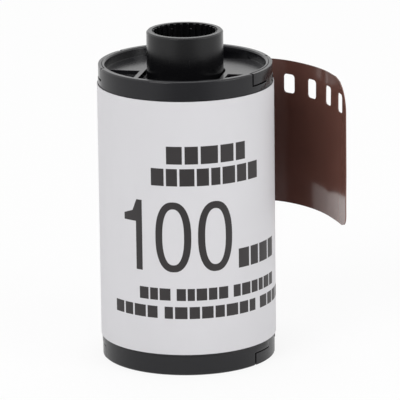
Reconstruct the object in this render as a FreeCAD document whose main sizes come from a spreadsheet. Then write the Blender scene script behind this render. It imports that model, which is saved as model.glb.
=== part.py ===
import FreeCAD, Part
import math
import os
import re
import Sketcher
from FreeCAD import Placement, Rotation, Vector

# A 35 mm film cartridge: a plastic shell with a light-trap mouth, two end caps held by
# T-shaped lugs, a wrap-round label, and a spool that carries the film.
# The frame has +Z up along the spool, with the origin on the axis at the lower rim face.
# Lengths are in millimetres and angles in degrees.

SIZES = (
    # Rim and floor of a cap
    ("cap_angle", 12.0, "clockwise turn of both caps and their lugs, seen from above"),
    ("cap_step", 0.07, "how far a cap's outside lies inside the shell's"),
    ("ring_height", 2.8, "visible height of a cap's rim"),
    ("ring_wall", 1.0, "thickness of the rim"),
    ("ring_bevel", 0.18, "bevel of the rim's two edges"),
    ("floor_depth", 1.3, "rim face down to the cap's plate"),
    ("plate_thickness", 1.3, "thickness of the plate"),
    ("plate_front", 1.0, "front edge of the plate, ahead of the axis"),
    ("plate_rear", 8.3, "rear edge of the plate, behind the axis"),
    ("pocket_depth", 0.7, "depth of the pockets ahead of and behind the plate"),
    ("well_gap", 0.23, "between the long hub and the side of the well round it"),
    ("well_depth", 0.8, "depth of the well below the plate"),
    ("rib_width", 0.7, "thickness of the ribs beside the well"),
    # Inner skirt of a cap
    ("spigot_length", 1.5, "reach of the skirt inside the shell"),
    ("spigot_wall", 0.6, "thickness of the skirt"),
    ("spigot_clearance", 0.05, "between the skirt and the shell"),
    ("spigot_retreat", 1.02, "between the skirt's open side and the inner lip"),
    # T-shaped lugs and their slots
    ("bar_angle", 57.0, "span of the head of a T slot"),
    ("bar_height", 1.9, "height of the head of a T slot"),
    ("stem_angle", 22.0, "span of the stem of a T slot"),
    ("slot_depth", 0.6, "depth of a T slot in the rim"),
    ("slot_gap", 0.12, "between a lug and its slot"),
    ("lug_recess", 0.12, "how far a lug lies below the rim's outside"),
    ("lug_drop", 0.05, "how far a lug's end lies below the rim face"),
    ("lug_root", 0.4, "how far a lug's stem runs into the shell wall"),
    # Shell and mouth
    ("shell_radius", 12.42, "outside of the shell"),
    ("shell_wall", 0.8, "thickness of the shell"),
    ("mouth_angle", 32.5, "direction in which the film leaves, from +X towards +Y"),
    ("lip_setback", 0.52, "lips' ends inside the shell's outside, along the film"),
    ("lip_wall", 0.8, "thickness of the inner lip"),
    ("lip_round", 0.3, "rounding at the ends of the lips"),
    ("root_round", 0.7, "rounding where the inner lip leaves the shell"),
    ("trap_gap", 1.3, "space between the two lips"),
    # Light-trap pads
    ("pad_thickness", 0.5, "thickness of a pad"),
    ("pad_inset", 0.66, "start of the pads, after the trap's inner corner"),
    ("pad_setback", 0.35, "pad's edge behind the lip's end"),
    # Label
    ("label_thickness", 0.07, "thickness of the label"),
    ("label_lift", 0.01, "adhesive between the label and the shell"),
    ("label_margin", 0.15, "bare shell above and below the label, if it is in the middle"),
    ("label_rise", 0.14, "label above the middle of the body"),
    ("label_seam", 3.0, "bare shell beside each lip's root, as an angle"),
    # Spool
    ("hub_radius", 5.42, "outside of the long hub"),
    ("hub_reach", 4.6, "long hub above the upper rim face"),
    ("hub_bevel", 0.2, "bevel of the hub's outer edge"),
    ("hub_wall", 0.77, "wall of the long hub between its teeth"),
    ("bore_depth", 8.0, "depth of the bore"),
    ("tooth_count", 30, "teeth round the bore"),
    ("tooth_height", 0.3, "how far a tooth stands out of the bore"),
    ("tooth_root", 0.56, "width of a tooth at its base"),
    ("tooth_bury", 0.1, "how far a tooth's base lies in the hub's wall"),
    ("tooth_tip", 0.26, "width of a tooth at its tip"),
    ("tooth_length", 5.0, "length of a tooth down the bore"),
    ("tooth_setback", 0.12, "teeth below the hub's face"),
    ("bearing_clearance", 0.08, "running clearance of both hubs"),
    ("short_hub_radius", 4.6, "outside of the short hub"),
    ("short_hub_setback", 0.45, "short hub above the lower rim face"),
    ("short_hub_wall", 1.1, "wall of the short hub"),
    ("socket_depth", 6.0, "depth of the short hub's bore"),
    ("web_thickness", 1.2, "driving web across the socket"),
    ("web_recess", 1.1, "web above the short hub's face"),
    ("end_float", 0.2, "play of the spool at each end"),
    ("flange_clearance", 0.92, "between the flanges and the shell"),
    ("flange_thickness", 0.7, "thickness of a flange"),
    ("core_radius", 5.75, "core that the film is wound on"),
    ("slot_width", 1.1, "width of the film slot in the core"),
    ("slot_margin", 4.5, "film's edge to the end of the film slot"),
    ("slot_reach", 4.5, "depth of the film slot"),
    # Film
    ("film_thickness", 0.14, "thickness of the film"),
    ("film_width", 35.0, "width of the film"),
    ("film_play", 0.25, "play of the film between the flanges, at each edge"),
    ("film_rise", 0.15, "film above the middle of the body"),
    ("roll_setback", 0.7, "outside of the wound film inside the flanges' edge"),
    ("tape_thickness", 0.06, "thickness of the tape on the core"),
    ("tape_gap", 0.02, "play on each side of the tape"),
    ("tape_height", 18.0, "width of the tape"),
    ("tape_angle", 80.0, "wrap of the tape round the core"),
    ("leader_width", 21.25, "width of the cut leader"),
    ("leader_inside", 1.5, "leader behind the start of the mouth"),
    ("leader_straight", 0.1, "flat film past the lips"),
    ("bend_a_radius", 8.5, "first bend, at the mouth"),
    ("bend_a_angle", 60.3, "turn of the first bend"),
    ("bend_b_radius", 15.9, "second bend"),
    ("bend_b_angle", 37.2, "turn of the second bend"),
    ("bend_c_radius", 46.4, "last bend, to the tip"),
    ("bend_c_angle", 11.2, "turn of the last bend"),
    ("tip_round_high", 4.5, "upper corner of the tip"),
    ("tip_round_low", 2.0, "lower corner of the tip"),
    ("hole_pitch", 4.75, "pitch of the perforations"),
    ("hole_length", 1.98, "perforation along the film"),
    ("hole_height", 2.79, "perforation across the film"),
    ("hole_round", 0.5, "corner radius of a perforation"),
    ("hole_edge", 2.01, "film edge to perforation"),
    ("hole_first", 2.55, "tip of the film to the first perforation's middle"),
)

# Places that follow from the sizes. Each is a formula on the sheet's cells.
PLACES = {
    "cap_floor": "floor_depth + plate_thickness",
    "body_height": "film_width + 2 * (film_play + flange_thickness + end_float + cap_floor)",
    "cap_radius": "shell_radius - cap_step",
    "well_radius": "hub_radius + well_gap",
    "cap_total": "spigot_length + ring_height",
    "plate_top": "cap_total - floor_depth",
    "plate_under": "plate_top - plate_thickness",
    "ring_inner": "cap_radius - ring_wall",
    "shell_inner": "shell_radius - shell_wall",
    "spigot_outer": "shell_inner - spigot_clearance",
    "spigot_inner": "spigot_outer - spigot_wall",
    "slot_floor": "cap_radius - slot_depth",
    "lug_inner": "slot_floor + slot_gap / 2",
    "lug_outer": "cap_radius - lug_recess",
    "gap_angle": "slot_gap / cap_radius * 180 / pi",
    "bar_lug_angle": "bar_angle - 2 * gap_angle",
    "stem_lug_angle": "stem_angle - 2 * gap_angle",
    "shell_low": "ring_height",
    "shell_high": "body_height - ring_height",
    "lip_reach": "shell_radius - lip_setback",
    "lip_face": "shell_inner - trap_gap",
    "lip_back": "lip_face - lip_wall",
    "pad_start": "sqrt(shell_inner ^ 2 - lip_face ^ 2) + pad_inset",
    "spigot_chord": "lip_back - spigot_retreat",
    "film_plane": "shell_inner - trap_gap / 2",
    "root_angle": "acos(lip_back / shell_radius) / 1deg",
    "fillet_angle": "root_round / tan(root_angle / 2) / shell_radius * 180 / pi",
    "label_inner": "shell_radius + label_lift",
    "label_height": "shell_high - shell_low - 2 * label_margin",
    "label_low": "middle - label_height / 2 + label_rise",
    "flange_high": "body_height - cap_floor - end_float",
    "flange_low": "cap_floor + end_float",
    "flange_radius": "shell_inner - flange_clearance",
    "hub_top": "body_height + hub_reach",
    "bore_radius": "hub_radius - hub_wall",
    "tooth_back": "bore_radius + tooth_bury",
    "tooth_front": "bore_radius - tooth_height",
    "socket_radius": "short_hub_radius - short_hub_wall",
    "slot_height": "film_width - 2 * slot_margin",
    "middle": "body_height / 2",
    "film_top": "(body_height + film_width) / 2 + film_rise",
    "film_foot": "film_top - film_width",
    "tape_inner": "core_radius + tape_gap",
    "roll_inner": "core_radius + tape_thickness + 2 * tape_gap",
    "roll_radius": "flange_radius - roll_setback",
}

# A cutter reaches this far past what it cuts, and two places this close are the same.
CUTTER_MARGIN = 1.0
SAME_PLACE = 1e-4
ALIASES = {alias for alias, size, note in SIZES}

document = FreeCAD.newDocument("film_cartridge")
sheet = document.addObject("Spreadsheet::Sheet", "Sizes")
for row, (alias, size, note) in enumerate(SIZES, start=1):
    sheet.set(f"A{row}", alias)
    sheet.set(f"B{row}", str(size))
    sheet.set(f"C{row}", note)
    sheet.setAlias(f"B{row}", alias)
document.recompute()


def bind(formula):
    """Write a formula of sizes and places as an expression on the sheet."""

    def swap(match):
        word = match.group(0)
        if word in PLACES:
            return "(" + bind(PLACES[word]) + ")"
        if word in ALIASES:
            return "Sizes." + word
        return word

    return re.sub(r"(?<![0-9.])[a-z][a-z_]*", swap, formula)


def value(formula):
    """Give the number that a formula has at the present sizes."""
    result = sheet.evalExpression(bind(formula))
    return float(getattr(result, "Value", result))


def attach(body, name, role, height=None, turn=None):
    """Make a sketch on one of the body's origin planes, raised and turned if asked."""
    sketch = body.newObject("Sketcher::SketchObject", name)
    plane = next(item for item in body.Origin.OriginFeatures if item.Role == role)
    sketch.AttachmentSupport = [(plane, "")]
    sketch.MapMode = "FlatFace"
    if height is not None:
        sketch.setExpression(".AttachmentOffset.Base.z", bind(height))
    if turn is not None:
        sketch.setExpression(".AttachmentOffset.Rotation.Angle", bind(turn))
    return sketch


def fix_coordinate(sketch, kind, geometry, point, formula, name):
    """Hold one coordinate of a sketch point to a formula, or to an axis where it is 0."""
    axis = {"DistanceX": -2, "DistanceY": -1}[kind]
    if formula == "0":
        sketch.addConstraint(Sketcher.Constraint("PointOnObject", geometry, point, axis))
        return
    constraint = Sketcher.Constraint(kind, -1, 1, geometry, point, value(formula))
    index = sketch.addConstraint(constraint)
    sketch.renameConstraint(index, name)
    sketch.setExpression("Constraints." + name, bind(formula))


def outline(sketch, name, corners):
    """Draw a closed outline.

    A corner is (x, y) for a straight edge to the next corner, or (x, y, sense, radius)
    for an arc about the origin, where sense is ccw or cw.
    """
    places = [Vector(value(corner[0]), value(corner[1]), 0) for corner in corners]
    edges = []
    for index, corner in enumerate(corners):
        here = places[index]
        after = places[(index + 1) % len(corners)]
        if len(corner) == 2:
            edge = sketch.addGeometry(Part.LineSegment(here, after), False)
            edges.append((edge, 1, 2))
            continue
        forward = corner[2] == "ccw"
        begin, finish = (here, after) if forward else (after, here)
        start_angle = math.atan2(begin.y, begin.x)
        end_angle = math.atan2(finish.y, finish.x)
        if end_angle <= start_angle:
            end_angle += 2 * math.pi
        circle = Part.Circle(Vector(0, 0, 0), Vector(0, 0, 1), value(corner[3]))
        edge = sketch.addGeometry(Part.ArcOfCircle(circle, start_angle, end_angle), False)
        edges.append((edge, 1, 2) if forward else (edge, 2, 1))
    for index, (edge, first, last) in enumerate(edges):
        after, after_first, after_last = edges[(index + 1) % len(edges)]
        sketch.addConstraint(Sketcher.Constraint("Coincident", edge, last, after, after_first))
    for index, corner in enumerate(corners):
        edge, first, last = edges[index]
        fix_coordinate(sketch, "DistanceX", edge, first, corner[0], f"{name}_x_{index}")
        fix_coordinate(sketch, "DistanceY", edge, first, corner[1], f"{name}_y_{index}")
        if len(corner) == 4:
            label = f"{name}_radius_{index}"
            radius = Sketcher.Constraint("Radius", edge, value(corner[3]))
            sketch.renameConstraint(sketch.addConstraint(radius), label)
            sketch.setExpression("Constraints." + label, bind(corner[3]))


def rectangle(sketch, name, left, right, low, high):
    """Draw a rectangle between two x and two y formulas."""
    outline(sketch, name, [(left, low), (right, low), (right, high), (left, high)])


def disc(sketch, name, radius):
    """Draw a circle about the origin."""
    circle = Part.Circle(Vector(0, 0, 0), Vector(0, 0, 1), value(radius))
    edge = sketch.addGeometry(circle, False)
    sketch.addConstraint(Sketcher.Constraint("Coincident", edge, 3, -1, 1))
    index = sketch.addConstraint(Sketcher.Constraint("Radius", edge, value(radius)))
    sketch.renameConstraint(index, name)
    sketch.setExpression("Constraints." + name, bind(radius))


def revolve(body, kind, name, sketch, angle="360"):
    """Turn a sketch about its upright axis, as a Revolution or a Groove."""
    feature = body.newObject("PartDesign::" + kind, name)
    feature.Profile = sketch
    feature.ReferenceAxis = (sketch, ["V_Axis"])
    feature.Midplane = angle != "360"
    feature.setExpression("Angle", bind(angle))
    document.recompute()
    return feature


def extrude(body, kind, name, sketch, length, upward):
    """Extrude a sketch, as a Pad or a Pocket, up or down its normal."""
    feature = body.newObject("PartDesign::" + kind, name)
    feature.Profile = sketch
    feature.setExpression("Length", bind(length))
    feature.Reversed = upward if kind == "Pocket" else not upward
    document.recompute()
    return feature


def repeat_round(body, name, originals, axis_sketch, axis, count):
    """Repeat features evenly about an axis of a sketch."""
    pattern = body.newObject("PartDesign::PolarPattern", name)
    pattern.Originals = originals
    pattern.Axis = (axis_sketch, [axis])
    pattern.Angle = 360
    pattern.setExpression("Occurrences", bind(count))
    body.Tip = pattern
    document.recompute()
    return pattern


def dress_edges(body, kind, name, base, size, chosen):
    """Put a Fillet or a Chamfer on the edges of a feature that a test picks out."""
    edges = [f"Edge{number}" for number, edge in enumerate(base.Shape.Edges, 1) if chosen(edge)]
    dressing = body.newObject("PartDesign::" + kind, name)
    dressing.Base = (base, edges)
    dressing.setExpression("Radius" if kind == "Fillet" else "Size", bind(size))
    document.recompute()
    return dressing


def is_circle(edge, radius, height):
    """Say whether an edge is a circle of this radius at this height."""
    if not isinstance(edge.Curve, Part.Circle):
        return False
    same_radius = abs(edge.Curve.Radius - radius) < SAME_PLACE
    return same_radius and abs(edge.Curve.Center.z - height) < SAME_PLACE


def end_cap(label, hub, flipped):
    """Build one end cap. Its own frame starts at the skirt's end, with the rim face on top."""
    body = document.addObject("PartDesign::Body", label)
    body.Label = label
    bearing = f"({hub} + bearing_clearance)"

    profile = attach(body, label + "_profile", "XZ_Plane")
    outline(profile, "wall", [
        (bearing, "plate_under"),
        ("spigot_inner", "plate_under"),
        ("spigot_inner", "0"),
        ("spigot_outer", "0"),
        ("spigot_outer", "spigot_length"),
        ("cap_radius", "spigot_length"),
        ("cap_radius", "cap_total"),
        ("ring_inner", "cap_total"),
        ("ring_inner", "plate_top"),
        (bearing, "plate_top"),
    ])
    turned = revolve(body, "Revolution", label + "_turned", profile)

    rim_radii = (value("cap_radius"), value("ring_inner"))
    rim_height = value("cap_total")
    dress_edges(
        body, "Chamfer", label + "_rim_bevel", turned, "ring_bevel",
        lambda edge: any(is_circle(edge, radius, rim_height) for radius in rim_radii),
    )

    well = attach(body, label + "_well_outline", "XY_Plane", height="plate_top")
    disc(well, "well_disc", "well_radius")
    extrude(body, "Pocket", label + "_well", well, "well_depth", upward=False)

    channel = attach(body, label + "_channel_outline", "XY_Plane", height="plate_top")
    channel_end = "-sqrt(ring_inner ^ 2 - well_radius ^ 2)"
    outline(channel, "channel", [
        ("-well_radius", "0"),
        ("-well_radius", channel_end, "ccw", "ring_inner"),
        ("well_radius", channel_end),
        ("well_radius", "0"),
    ])
    extrude(body, "Pocket", label + "_channel", channel, "well_depth", upward=False)

    pockets = attach(body, label + "_pocket_outline", "XY_Plane", height="plate_top")
    rib_outer = "(well_radius + rib_width)"
    rib_end = f"-sqrt(ring_inner ^ 2 - {rib_outer} ^ 2)"
    front_end = "sqrt(ring_inner ^ 2 - plate_front ^ 2)"
    rear_end = "sqrt(ring_inner ^ 2 - plate_rear ^ 2)"
    outline(pockets, "right", [
        (rib_outer, "-plate_front"),
        (rib_outer, rib_end, "ccw", "ring_inner"),
        (front_end, "-plate_front"),
    ])
    outline(pockets, "left", [
        ("-" + rib_outer, "-plate_front"),
        ("-" + front_end, "-plate_front", "ccw", "ring_inner"),
        ("-" + rib_outer, rib_end),
    ])
    outline(pockets, "rear", [
        ("-" + rear_end, "plate_rear"),
        (rear_end, "plate_rear", "ccw", "ring_inner"),
    ])
    extrude(body, "Pocket", label + "_pockets", pockets, "pocket_depth", upward=False)

    heads = attach(body, label + "_head_outline", "XZ_Plane")
    beyond = f"(cap_radius + {CUTTER_MARGIN})"
    above = f"cap_total + {CUTTER_MARGIN}"
    rectangle(heads, "head", "slot_floor", beyond, "cap_total - bar_height", above)
    head_slot = revolve(body, "Groove", label + "_head_slot", heads, "bar_angle")
    stems = attach(body, label + "_stem_outline", "XZ_Plane")
    rectangle(stems, "stem", "slot_floor", beyond, "spigot_length", "cap_total")
    stem_slot = revolve(body, "Groove", label + "_stem_slot", stems, "stem_angle")
    repeat_round(body, label + "_slots", [head_slot, stem_slot], profile, "V_Axis", "2")

    mouth_side = "-(mouth_angle + cap_angle + 180)" if flipped else "mouth_angle + cap_angle"
    window = attach(body, label + "_window_outline", "XY_Plane", turn=mouth_side)
    rectangle(window, "window", "-shell_radius", "shell_radius", "spigot_chord", "shell_radius")
    opened = extrude(body, "Pocket", label + "_window", window, "spigot_length", upward=True)
    body.Tip = opened

    turn = Rotation(Vector(0, 0, 1), -value("cap_angle"))
    if flipped:
        over = Rotation(Vector(1, 0, 0), 180)
        body.Placement = Placement(Vector(0, 0, value("cap_total")), turn * over)
    else:
        body.Placement = Placement(Vector(0, 0, value("body_height - cap_total")), turn)
    return body


def build_shell():
    """Build the shell: one wall that ends in two lips, with a T lug on each side of both ends."""
    body = document.addObject("PartDesign::Body", "shell")
    body.Label = "shell"
    turn_to_mouth = "mouth_angle + cap_angle"
    section = attach(body, "shell_section", "XY_Plane", height="shell_low", turn=turn_to_mouth)
    outline(section, "wall", [
        ("lip_reach", "shell_radius"),
        ("0", "shell_radius", "ccw", "shell_radius"),
        ("sqrt(shell_radius ^ 2 - lip_back ^ 2)", "lip_back"),
        ("lip_reach", "lip_back"),
        ("lip_reach", "lip_face"),
        ("sqrt(shell_inner ^ 2 - lip_face ^ 2)", "lip_face", "cw", "shell_inner"),
        ("0", "shell_inner"),
        ("lip_reach", "shell_inner"),
    ])
    wall = extrude(body, "Pad", "shell_wall_pad", section, "shell_high - shell_low", upward=True)

    to_mouth = Rotation(Vector(0, 0, 1), -value(turn_to_mouth))
    lip_reach = value("lip_reach")
    lip_back = value("lip_back")
    root_reach = math.sqrt(value("shell_radius") ** 2 - lip_back ** 2)

    def upright_at(edge, reach, offset=None):
        """Say whether an edge stands upright at this place in the mouth's own directions."""
        low, high = edge.Vertexes[0].Point, edge.Vertexes[-1].Point
        if math.hypot(high.x - low.x, high.y - low.y) > SAME_PLACE:
            return False
        place = to_mouth.multVec(low)
        same_offset = offset is None or abs(place.y - offset) < SAME_PLACE
        return same_offset and abs(place.x - reach) < SAME_PLACE

    lips = dress_edges(
        body, "Fillet", "lip_ends", wall, "lip_round",
        lambda edge: upright_at(edge, lip_reach),
    )
    dress_edges(
        body, "Fillet", "lip_root", lips, "root_round",
        lambda edge: upright_at(edge, root_reach, lip_back),
    )

    stems = attach(body, "lug_stem_outline", "XZ_Plane")
    heads = attach(body, "lug_head_outline", "XZ_Plane")
    lug_top = "body_height - lug_drop"
    head_edge = "(bar_height - slot_gap)"
    rectangle(stems, "high", "lug_inner", "lug_outer", "shell_high - lug_root", lug_top)
    rectangle(stems, "low", "lug_inner", "lug_outer", "lug_drop", "shell_low + lug_root")
    rectangle(heads, "high", "lug_inner", "lug_outer", f"body_height - {head_edge}", lug_top)
    rectangle(heads, "low", "lug_inner", "lug_outer", "lug_drop", head_edge)
    stem_lugs = revolve(body, "Revolution", "lug_stems", stems, "stem_lug_angle")
    head_lugs = revolve(body, "Revolution", "lug_heads", heads, "bar_lug_angle")
    repeat_round(body, "lugs", [stem_lugs, head_lugs], stems, "V_Axis", "2")
    body.Placement = Placement(Vector(0, 0, 0), Rotation(Vector(0, 0, 1), -value("cap_angle")))
    return body


def build_spool():
    """Build the spool: long hub with its toothed bore, flanges, slotted core and short hub."""
    body = document.addObject("PartDesign::Body", "spool")
    body.Label = "spool"
    profile = attach(body, "spool_profile", "XZ_Plane")
    outline(profile, "half", [
        ("0", "short_hub_setback"),
        ("short_hub_radius", "short_hub_setback"),
        ("short_hub_radius", "flange_low"),
        ("flange_radius", "flange_low"),
        ("flange_radius", "flange_low + flange_thickness"),
        ("core_radius", "flange_low + flange_thickness"),
        ("core_radius", "flange_high - flange_thickness"),
        ("flange_radius", "flange_high - flange_thickness"),
        ("flange_radius", "flange_high"),
        ("hub_radius", "flange_high"),
        ("hub_radius", "hub_top"),
        ("0", "hub_top"),
    ])
    turned = revolve(body, "Revolution", "spool_turned", profile)
    hub_radius = value("hub_radius")
    hub_top = value("hub_top")
    dress_edges(
        body, "Chamfer", "hub_edge", turned, "hub_bevel",
        lambda edge: is_circle(edge, hub_radius, hub_top),
    )

    bore = attach(body, "bore_outline", "XY_Plane", height="hub_top")
    disc(bore, "bore_disc", "bore_radius")
    extrude(body, "Pocket", "bore", bore, "bore_depth", upward=False)

    tooth = attach(body, "tooth_outline", "XY_Plane", height="hub_top - tooth_setback")
    outline(tooth, "tooth", [
        ("tooth_back", "-tooth_root / 2"),
        ("tooth_back", "tooth_root / 2"),
        ("tooth_front", "tooth_tip / 2"),
        ("tooth_front", "-tooth_tip / 2"),
    ])
    first_tooth = extrude(body, "Pad", "tooth", tooth, "tooth_length", upward=False)
    repeat_round(body, "teeth", [first_tooth], profile, "V_Axis", "tooth_count")

    socket = attach(body, "socket_outline", "XY_Plane", height="short_hub_setback")
    disc(socket, "socket_disc", "socket_radius")
    extrude(body, "Pocket", "socket", socket, "socket_depth", upward=True)

    web = attach(body, "web_outline", "XY_Plane", height="short_hub_setback + web_recess")
    web_half = "(socket_radius + short_hub_radius) / 2"
    rectangle(web, "web", "-" + web_half, web_half, "-web_thickness / 2", "web_thickness / 2")
    extrude(body, "Pad", "web", web, f"socket_depth - web_recess + {CUTTER_MARGIN}", upward=True)

    slot = attach(body, "slot_outline", "YZ_Plane", height="core_radius - slot_reach")
    rectangle(
        slot, "slot", "-slot_width / 2", "slot_width / 2",
        "middle - slot_height / 2", "middle + slot_height / 2",
    )
    cut = extrude(body, "Pocket", "film_slot", slot, f"slot_reach + {CUTTER_MARGIN}", upward=True)
    body.Tip = cut
    return body


def cylinder(name, radius, low, height, start=None, sweep=None):
    """Make an upright cylinder, or a sector of one that starts at an angle from +X."""
    solid = document.addObject("Part::Cylinder", name)
    solid.setExpression("Radius", bind(radius))
    solid.setExpression("Height", bind(height))
    solid.setExpression("Placement.Base.z", bind(low))
    if sweep is not None:
        solid.Placement = Placement(Vector(0, 0, 0), Rotation(Vector(0, 0, 1), 1))
        solid.setExpression("Angle", bind(sweep))
        solid.setExpression("Placement.Base.z", bind(low))
        solid.setExpression("Placement.Rotation.Angle", bind(start))
    return solid


def tube(label, inner, outer, low, height, start=None, sweep=None):
    """Make an upright tube, or a sector of one, as one labelled cut."""
    body = document.addObject("Part::Cut", label)
    body.Base = cylinder(label + "_outside", outer, low, height, start, sweep)
    below = f"{low} - {CUTTER_MARGIN}"
    beyond = f"{height} + {2 * CUTTER_MARGIN}"
    body.Tool = cylinder(label + "_inside", inner, below, beyond)
    body.Label = label
    return body


def trap_pad(label, near, start):
    """Make one pad of the light trap, from a distance off the axis and a start along the film."""
    pad = document.addObject("Part::Box", label)
    pad.Label = label
    pad.Placement = Placement(Vector(0, 0, 0), Rotation(Vector(0, 0, 1), 1))
    pad.setExpression("Length", bind(f"lip_reach - pad_setback - {start}"))
    pad.setExpression("Width", bind("pad_thickness"))
    pad.setExpression("Height", bind("shell_high - shell_low - 2 * pad_setback"))
    across = f"({start}) * cos(mouth_angle) - ({near}) * sin(mouth_angle)"
    behind = f"({start}) * sin(mouth_angle) + ({near}) * cos(mouth_angle)"
    pad.setExpression("Placement.Base.x", bind(across))
    pad.setExpression("Placement.Base.y", bind(behind))
    pad.setExpression("Placement.Base.z", bind("shell_low + pad_setback"))
    pad.setExpression("Placement.Rotation.Angle", bind("mouth_angle"))
    return pad


class FilmPath:
    """The leader's middle line, seen from above: a straight run and bends to the right."""

    def __init__(self):
        self.direction = math.radians(value("mouth_angle"))
        self.bends = [
            (value(bend + "_radius"), math.radians(value(bend + "_angle")))
            for bend in ("bend_a", "bend_b", "bend_c")
        ]
        self.straight = value("leader_inside + lip_reach + leader_straight")
        self.length = self.straight + sum(radius * turn for radius, turn in self.bends)

    def start(self):
        """Give the middle of the strip at its inner end."""
        along = -value("leader_inside")
        off = value("film_plane")
        cosine, sine = math.cos(self.direction), math.sin(self.direction)
        return Vector(along * cosine - off * sine, along * sine + off * cosine, 0)

    def at(self, distance):
        """Give the place and the heading, in radians, at a distance from the inner end."""
        heading = self.direction
        place = self.start()
        step = min(distance, self.straight)
        place += Vector(math.cos(heading), math.sin(heading), 0) * step
        left = distance - step
        for radius, turn in self.bends:
            angle = min(left / radius, turn)
            if angle <= 0:
                break
            centre = place + Vector(math.sin(heading), -math.cos(heading), 0) * radius
            heading -= angle
            place = centre + Vector(-math.sin(heading), math.cos(heading), 0) * radius
            left -= angle * radius
        return place, heading

    def side(self, offset):
        """Give the edges of a line beside the middle one, positive to the left."""

        def beside(distance):
            place, heading = self.at(distance)
            return place + Vector(-math.sin(heading), math.cos(heading), 0) * offset

        stops = [0.0, self.straight]
        edges = [Part.LineSegment(beside(stops[0]), beside(stops[1])).toShape()]
        for radius, turn in self.bends:
            first = stops[-1]
            last = first + radius * turn
            arc = Part.Arc(beside(first), beside((first + last) / 2), beside(last))
            edges.append(arc.toShape())
            stops.append(last)
        return edges, beside(0.0), beside(stops[-1])

    def frame(self, distance, height):
        """Give a placement with x along the film, y up and z through its thickness."""
        place, heading = self.at(distance)
        along = Vector(math.cos(heading), math.sin(heading), 0)
        up = Vector(0, 0, 1)
        turn = Rotation(along, up, along.cross(up), "XYZ")
        return Placement(place + up * height, turn)


def punch(length, height, corner, depth):
    """Make the punch for one perforation, centred on its own origin."""
    block = Part.makeBox(length, height, depth, Vector(-length / 2, -height / 2, -depth / 2))
    uprights = [
        edge for edge in block.Edges
        if abs(edge.Vertexes[0].Z - edge.Vertexes[-1].Z) > depth / 2
    ]
    return block.makeFillet(corner, uprights)


def corner_trim(radius, depth, upper):
    """Make the waste cut from one corner of the tip, with that corner at its own origin."""
    side = 1 if upper else -1
    low = Vector(-radius, -radius if upper else 0, -depth / 2)
    block = Part.makeBox(radius, radius, depth, low)
    round_part = Part.makeCylinder(radius, depth, Vector(-radius, -side * radius, -depth / 2))
    return block.cut(round_part)


def film_leader():
    """Build the cut leader: a curled strip with one row of perforations and a rounded tip."""
    path = FilmPath()
    thickness = value("film_thickness")
    top = value("film_top")
    width = value("leader_width")
    left, left_start, left_end = path.side(thickness / 2)
    right, right_start, right_end = path.side(-thickness / 2)
    ends = [
        Part.LineSegment(left_end, right_end).toShape(),
        Part.LineSegment(left_start, right_start).toShape(),
    ]
    section = Part.Wire(Part.__sortEdges__(left + right + ends))
    strip = Part.Face(section).extrude(Vector(0, 0, width))
    strip.translate(Vector(0, 0, top - width))

    waste = []
    hole_length = value("hole_length")
    hole = punch(hole_length, value("hole_height"), value("hole_round"), 2 * CUTTER_MARGIN)
    hole_level = top - value("hole_edge + hole_height / 2")
    distance = path.length - value("hole_first")
    while distance > hole_length:
        cutter = hole.copy()
        cutter.Placement = path.frame(distance, hole_level)
        waste.append(cutter)
        distance -= value("hole_pitch")
    corners = (("tip_round_high", top, True), ("tip_round_low", top - width, False))
    for alias, level, upper in corners:
        trim = corner_trim(value(alias), 2 * CUTTER_MARGIN, upper)
        trim.Placement = path.frame(path.length, level)
        waste.append(trim)
    leader = document.addObject("Part::Feature", "film_leader")
    leader.Label = "film_leader"
    leader.Shape = strip.cut(waste)
    return leader


parts = [
    end_cap("top_cap", "hub_radius", flipped=False),
    end_cap("bottom_cap", "short_hub_radius", flipped=True),
    build_shell(),
    tube(
        "label", "label_inner", "label_inner + label_thickness", "label_low", "label_height",
        start="mouth_angle + 90 + label_seam",
        sweep="360 - root_angle - fillet_angle - 2 * label_seam",
    ),
    trap_pad("plush_outer", "shell_inner - pad_thickness", "pad_start"),
    trap_pad("plush_inner", "lip_face", "pad_start"),
    build_spool(),
    tube("film_roll", "roll_inner", "roll_radius", "film_foot", "film_width"),
    tube(
        "tail_tape", "tape_inner", "tape_inner + tape_thickness",
        "middle - tape_height / 2", "tape_height", start="0", sweep="tape_angle",
    ),
    film_leader(),
]
document.recompute()

for item in document.Objects:
    if {"Invalid", "Error"} & set(item.State):
        raise RuntimeError(f"{item.Label} did not build: {item.State}")
for part in parts:
    if part.Shape.isNull() or not part.Shape.isValid():
        raise RuntimeError(f"{part.Label} has no valid shape")

os.makedirs("parts", exist_ok=True)
for part in parts:
    part.Shape.exportStep(os.path.join("parts", part.Label + ".step"))
    box = part.Shape.BoundBox
    print(f"{part.Label}: {len(part.Shape.Solids)} solid, {part.Shape.Volume:.1f} mm3, "
          f"z {box.ZMin:.2f} to {box.ZMax:.2f}")
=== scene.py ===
"""Looks of a 35 mm film cartridge, dressed over its construction model.

Lengths are in metres, or in millimetres times MM, and angles are in degrees. The frame is the
construction model's: +Z up along the spool, origin on the axis at the lower rim.
"""

import logging
import math
from dataclasses import dataclass, field
from enum import Enum
from typing import Any

import bmesh
import bpy
from mathutils import Matrix, Vector


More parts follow.
